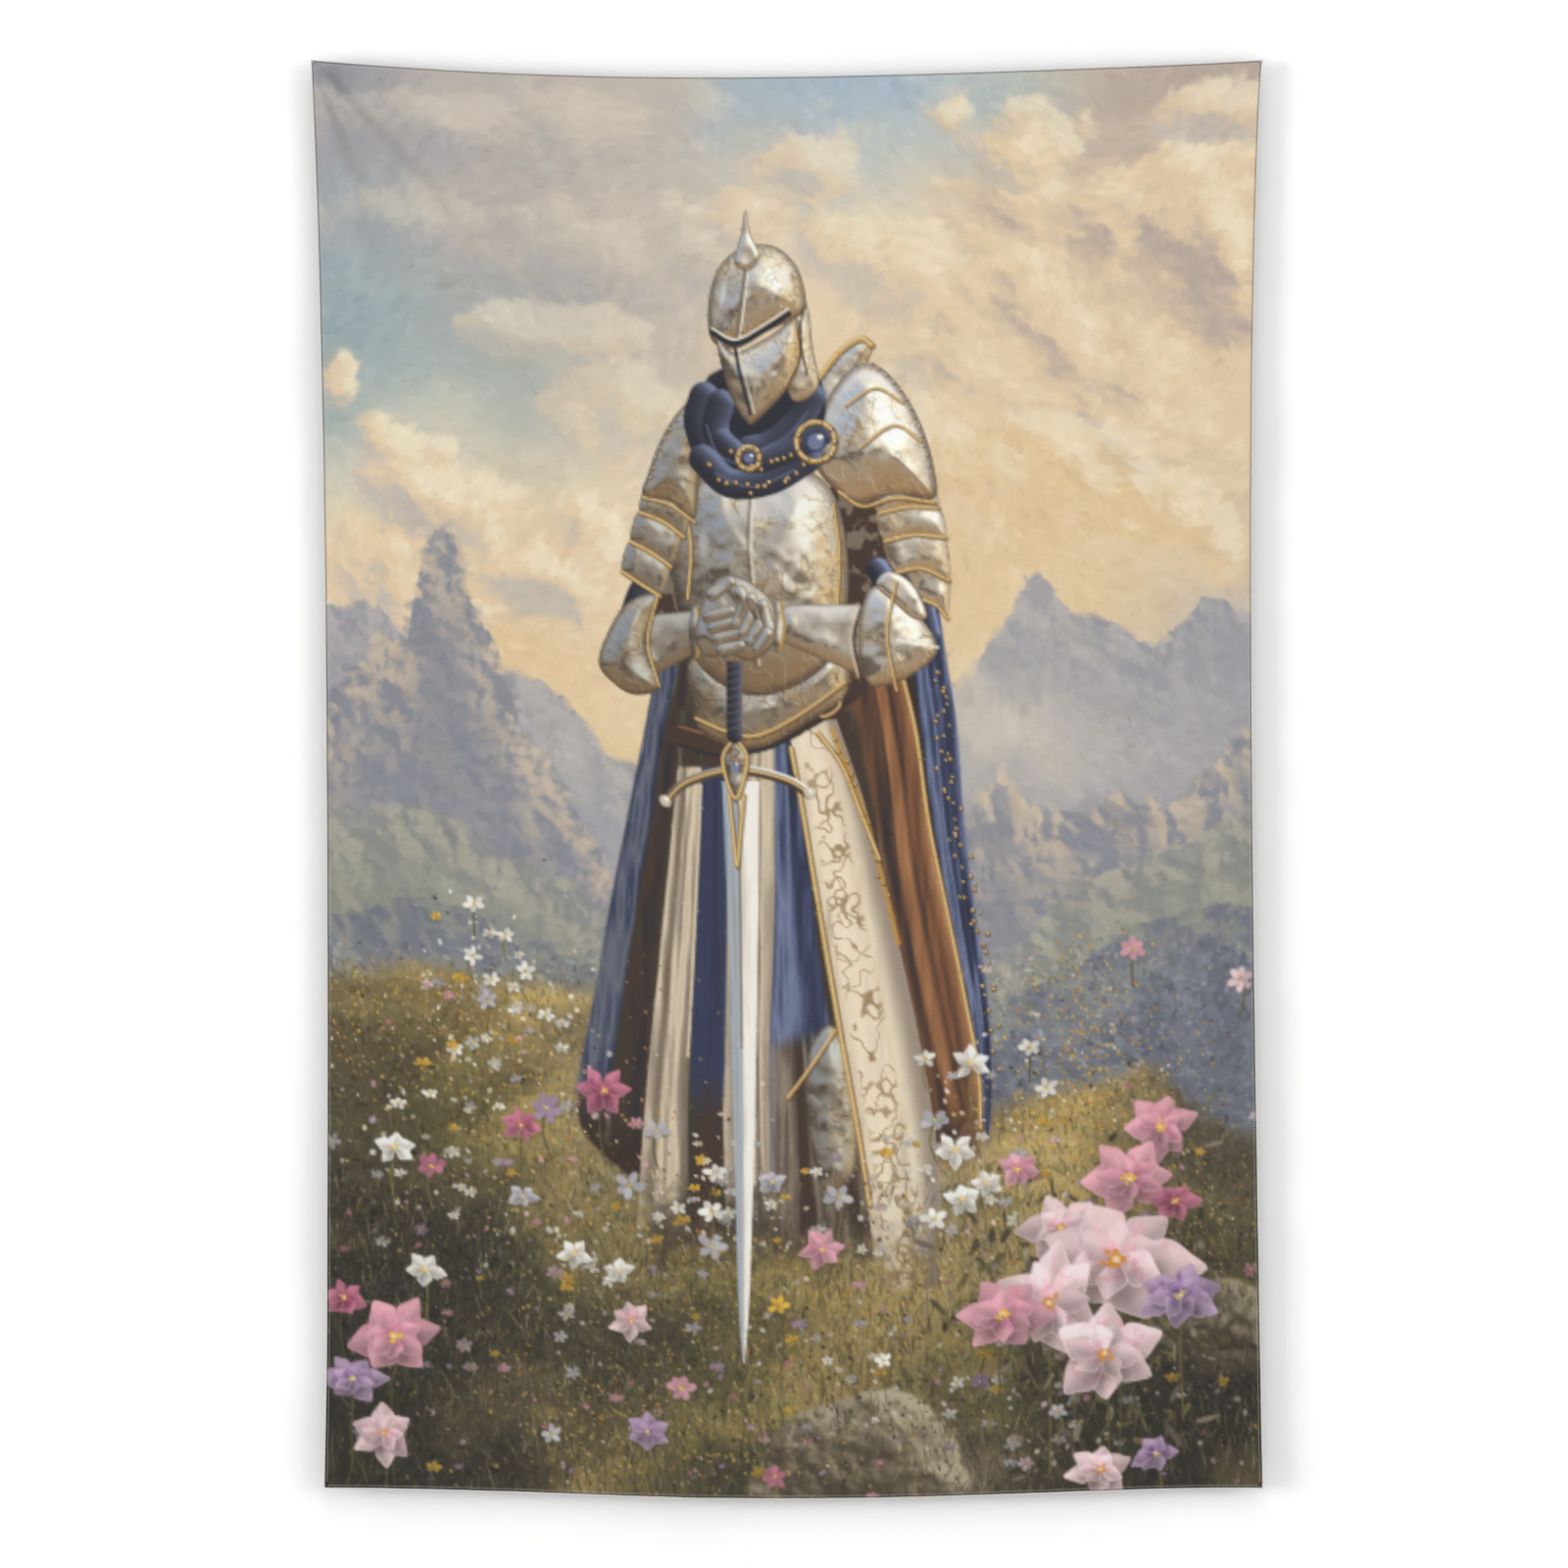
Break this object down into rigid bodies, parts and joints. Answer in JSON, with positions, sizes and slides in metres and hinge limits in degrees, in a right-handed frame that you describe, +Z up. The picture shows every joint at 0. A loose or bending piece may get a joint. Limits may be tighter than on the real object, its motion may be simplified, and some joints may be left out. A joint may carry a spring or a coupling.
{
  "type": "tapestry wall hanging",
  "caption": "Printed cloth wall hanging with narrow folded and stitched hems, held flat to a wall by a pull-out steel pin through each upper corner.",
  "frame": {"origin": "midway between the two wall pins, at their height, on the wall's surface", "axes": "+Z up the wall, +X to the right as seen from the front, -Y out of the wall towards the viewer"},
  "size_m": [1.016, 0.029, 1.5355],
  "materials": {
    "printed_cloth": "matt woven polyester with a printed picture",
    "cloth_back": "unprinted side of the cloth, matt white",
    "thread": "fine spun sewing thread",
    "pin_steel": "plain steel"
  },
  "bodies": {
    "cloth": {"printed_panel": "printed_cloth", "top_hem": "cloth_back", "bottom_hem": "cloth_back", "left_hem": "cloth_back", "right_hem": "cloth_back", "top_needle_thread": "thread", "bottom_needle_thread": "thread", "left_needle_thread": "thread", "right_needle_thread": "thread", "top_bobbin_thread": "thread", "bottom_bobbin_thread": "thread", "left_bobbin_thread": "thread", "right_bobbin_thread": "thread"},
    "left_pin": {"left_wall_pin": "pin_steel"},
    "right_pin": {"right_wall_pin": "pin_steel"}
  },
  "joints": [
    {"name": "left_pin_pull", "type": "slide", "parent": "cloth", "child": "left_pin", "axis": [0, -1, 0], "range_m": [0, 0.025]},
    {"name": "right_pin_pull", "type": "slide", "parent": "cloth", "child": "right_pin", "axis": [0, -1, 0], "range_m": [0, 0.025]}
  ]
}
